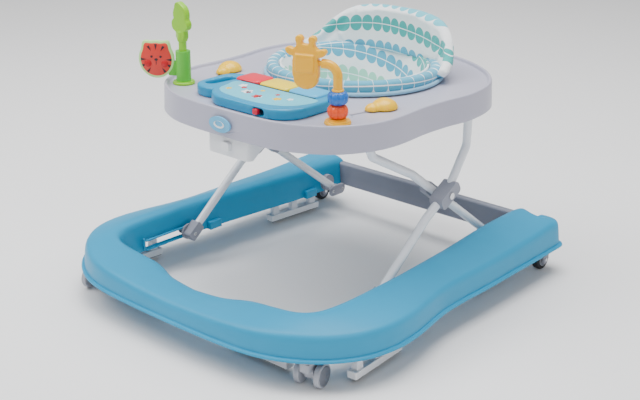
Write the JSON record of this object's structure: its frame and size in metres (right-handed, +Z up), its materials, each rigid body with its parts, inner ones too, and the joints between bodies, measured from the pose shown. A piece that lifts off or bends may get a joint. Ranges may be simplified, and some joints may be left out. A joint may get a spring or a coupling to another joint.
{
  "type": "baby walker",
  "caption": "Folding baby walker: wheeled U-shaped base, crossed tube frame and oval tray with fabric seat and play toys.",
  "frame": {"origin": "centre of the bounding box footprint, on the floor", "axes": "+Z up, -Y towards the front of the walker where the toys are, +X towards its left-hand arm as the child sits"},
  "size_m": [0.6888, 0.7196, 0.513],
  "materials": {
    "base_blue": "satin",
    "grey_plastic": "satin",
    "caster_grey": "satin",
    "bright_steel": "bright",
    "white_plastic": "satin",
    "pad_rubber": "matte",
    "tyre_rubber": "matte",
    "white_tube": "gloss",
    "tray_grey": "satin",
    "seat_fabric": "woven",
    "badge_blue": "gloss",
    "panel_blue": "gloss",
    "key_pink": "gloss",
    "key_yellow": "gloss",
    "key_sky": "gloss",
    "switch_red": "gloss",
    "toy_yellow": "gloss",
    "bead_orange": "gloss",
    "bead_blue": "gloss",
    "leaf_green": "gloss",
    "sleeve_green": "gloss"
  },
  "bodies": {
    "base": {"base_shell": "base_blue", "caster_bushes": "bright_steel", "rear_crossbar": "grey_plastic", "rear_brackets": "grey_plastic", "rear_pivot_pins": "bright_steel", "stoppers_front": "white_plastic", "stoppers_side_front": "white_plastic", "stoppers_side_rear": "white_plastic", "stopper_pads": "pad_rubber"},
    "front_fork_left": {"fork_front_left": "grey_plastic", "axle_front_left": "bright_steel"},
    "front_wheels_left": {"wheels_front_left": "caster_grey"},
    "rear_fork_left": {"fork_rear_left": "grey_plastic", "axle_rear_left": "bright_steel"},
    "rear_wheel_left": {"wheel_rear_left": "grey_plastic", "tyre_rear_left": "tyre_rubber"},
    "front_fork_right": {"fork_front_right": "grey_plastic", "axle_front_right": "bright_steel"},
    "front_wheels_right": {"wheels_front_right": "caster_grey"},
    "rear_fork_right": {"fork_rear_right": "grey_plastic", "axle_rear_right": "bright_steel"},
    "rear_wheel_right": {"wheel_rear_right": "grey_plastic", "tyre_rear_right": "tyre_rubber"},
    "frame_a": {"leg_a_left": "white_tube", "leg_a_right": "white_tube", "hub_inner_left": "grey_plastic", "hub_inner_right": "grey_plastic", "latch_sleeve": "white_plastic"},
    "frame_b": {"leg_b_left": "white_tube", "leg_b_right": "white_tube", "hub_outer_left": "grey_plastic", "hub_outer_right": "grey_plastic", "hub_rivet_left": "bright_steel", "hub_rivet_right": "bright_steel", "sliding_foot_left": "grey_plastic", "sliding_foot_right": "grey_plastic"},
    "tray": {"tray_top": "tray_grey", "latch_housing": "white_plastic", "tray_pivot_blocks": "white_plastic", "tray_pivot_pins": "bright_steel", "badge": "badge_blue", "seat_ring": "seat_fabric", "seat_pocket": "seat_fabric", "seat_back": "seat_fabric", "panel_case": "panel_blue", "panel_base": "panel_blue", "giraffe_arm": "toy_yellow", "tree_post": "leaf_green", "tree_crown": "leaf_green"},
    "latch_button": {"latch_button": "white_plastic"},
    "key_red": {"key_red": "key_pink"},
    "key_yellow": {"key_yellow": "key_yellow"},
    "key_blue": {"key_blue": "key_sky"},
    "power_switch": {"power_switch": "switch_red"},
    "bead_orange": {"bead_orange": "bead_orange"},
    "bead_blue": {"bead_blue": "bead_blue"},
    "giraffe_head": {"giraffe_head": "toy_yellow"},
    "animal_spinner": {"animal_spinner": "sleeve_green"},
    "slider_toy_left": {"slider_toy_left": "toy_yellow"},
    "slider_toy_right": {"slider_toy_right": "toy_yellow"}
  },
  "joints": [
    {"name": "front_swivel_left", "type": "hinge", "parent": "base", "child": "front_fork_left", "pos_m": [-0.262, -0.298, 0.06], "axis": [0, 0, 1], "continuous": true},
    {"name": "front_roll_left", "type": "hinge", "parent": "front_fork_left", "child": "front_wheels_left", "pos_m": [-0.26449, -0.28626, 0.02], "axis": [0.9781, 0.2079, 0], "continuous": true},
    {"name": "rear_swivel_left", "type": "hinge", "parent": "base", "child": "rear_fork_left", "pos_m": [-0.277, 0.318, 0.06], "axis": [0, 0, 1], "continuous": true},
    {"name": "rear_roll_left", "type": "hinge", "parent": "rear_fork_left", "child": "rear_wheel_left", "pos_m": [-0.277, 0.33, 0.02], "axis": [1, 0, 0], "continuous": true},
    {"name": "front_swivel_right", "type": "hinge", "parent": "base", "child": "front_fork_right", "pos_m": [0.262, -0.298, 0.06], "axis": [0, 0, 1], "continuous": true},
    {"name": "front_roll_right", "type": "hinge", "parent": "front_fork_right", "child": "front_wheels_right", "pos_m": [0.25951, -0.28626, 0.02], "axis": [0.9781, 0.2079, 0], "continuous": true},
    {"name": "rear_swivel_right", "type": "hinge", "parent": "base", "child": "rear_fork_right", "pos_m": [0.277, 0.318, 0.06], "axis": [0, 0, 1], "continuous": true},
    {"name": "rear_roll_right", "type": "hinge", "parent": "rear_fork_right", "child": "rear_wheel_right", "pos_m": [0.277, 0.33, 0.02], "axis": [1, 0, 0], "continuous": true},
    {"name": "frame_fold", "type": "hinge", "parent": "base", "child": "frame_a", "pos_m": [0, 0.276, 0.0625], "axis": [1, 0, 0], "range_deg": [0, 24]},
    {"name": "frame_cross", "type": "hinge", "parent": "frame_a", "child": "frame_b", "pos_m": [0, 0.0915, 0.2006], "axis": [1, 0, 0], "range_deg": [-48.5, 0.5]},
    {"name": "tray_level", "type": "hinge", "parent": "frame_b", "child": "tray", "pos_m": [0, 0.152, 0.34], "axis": [1, 0, 0], "range_deg": [-0.5, 24.5]},
    {"name": "latch_press", "type": "slide", "parent": "tray", "child": "latch_button", "axis": [0, 1, 0], "range_m": [0, 0.005], "stiffness_N_per_m": 600},
    {"name": "key_red_press", "type": "slide", "parent": "tray", "child": "key_red", "axis": [0, 0, -1], "range_m": [0, 0.0025], "stiffness_N_per_m": 800},
    {"name": "key_yellow_press", "type": "slide", "parent": "tray", "child": "key_yellow", "axis": [0, 0, -1], "range_m": [0, 0.0025], "stiffness_N_per_m": 800},
    {"name": "key_blue_press", "type": "slide", "parent": "tray", "child": "key_blue", "axis": [0, 0, -1], "range_m": [0, 0.0025], "stiffness_N_per_m": 800},
    {"name": "power_slide", "type": "slide", "parent": "tray", "child": "power_switch", "axis": [1, 0, 0], "range_m": [0, 0.009]},
    {"name": "bead_orange_spin", "type": "hinge", "parent": "tray", "child": "bead_orange", "pos_m": [0.179, -0.137, 0.39], "axis": [0, 0, 1], "continuous": true},
    {"name": "bead_blue_spin", "type": "hinge", "parent": "tray", "child": "bead_blue", "pos_m": [0.179, -0.137, 0.415], "axis": [0, 0, 1], "continuous": true},
    {"name": "giraffe_nod", "type": "hinge", "parent": "tray", "child": "giraffe_head", "pos_m": [0.14141, -0.15068, 0.464], "axis": [-0.9397, -0.342, 0], "continuous": true},
    {"name": "animal_spin", "type": "hinge", "parent": "tray", "child": "animal_spinner", "pos_m": [-0.179, -0.137, 0.4], "axis": [0, 0, 1], "range_deg": [-90, 90]},
    {"name": "bug_slide_left", "type": "slide", "parent": "tray", "child": "slider_toy_left", "axis": [0.2588, -0.9659, 0], "range_m": [0, 0.056]},
    {"name": "bug_slide_right", "type": "slide", "parent": "tray", "child": "slider_toy_right", "axis": [-0.2588, -0.9659, 0], "range_m": [0, 0.056]}
  ],
  "couplings": [
    {"joint": "frame_cross", "follows": "frame_fold", "ratio": -2},
    {"joint": "tray_level", "follows": "frame_fold", "ratio": 1}
  ]
}
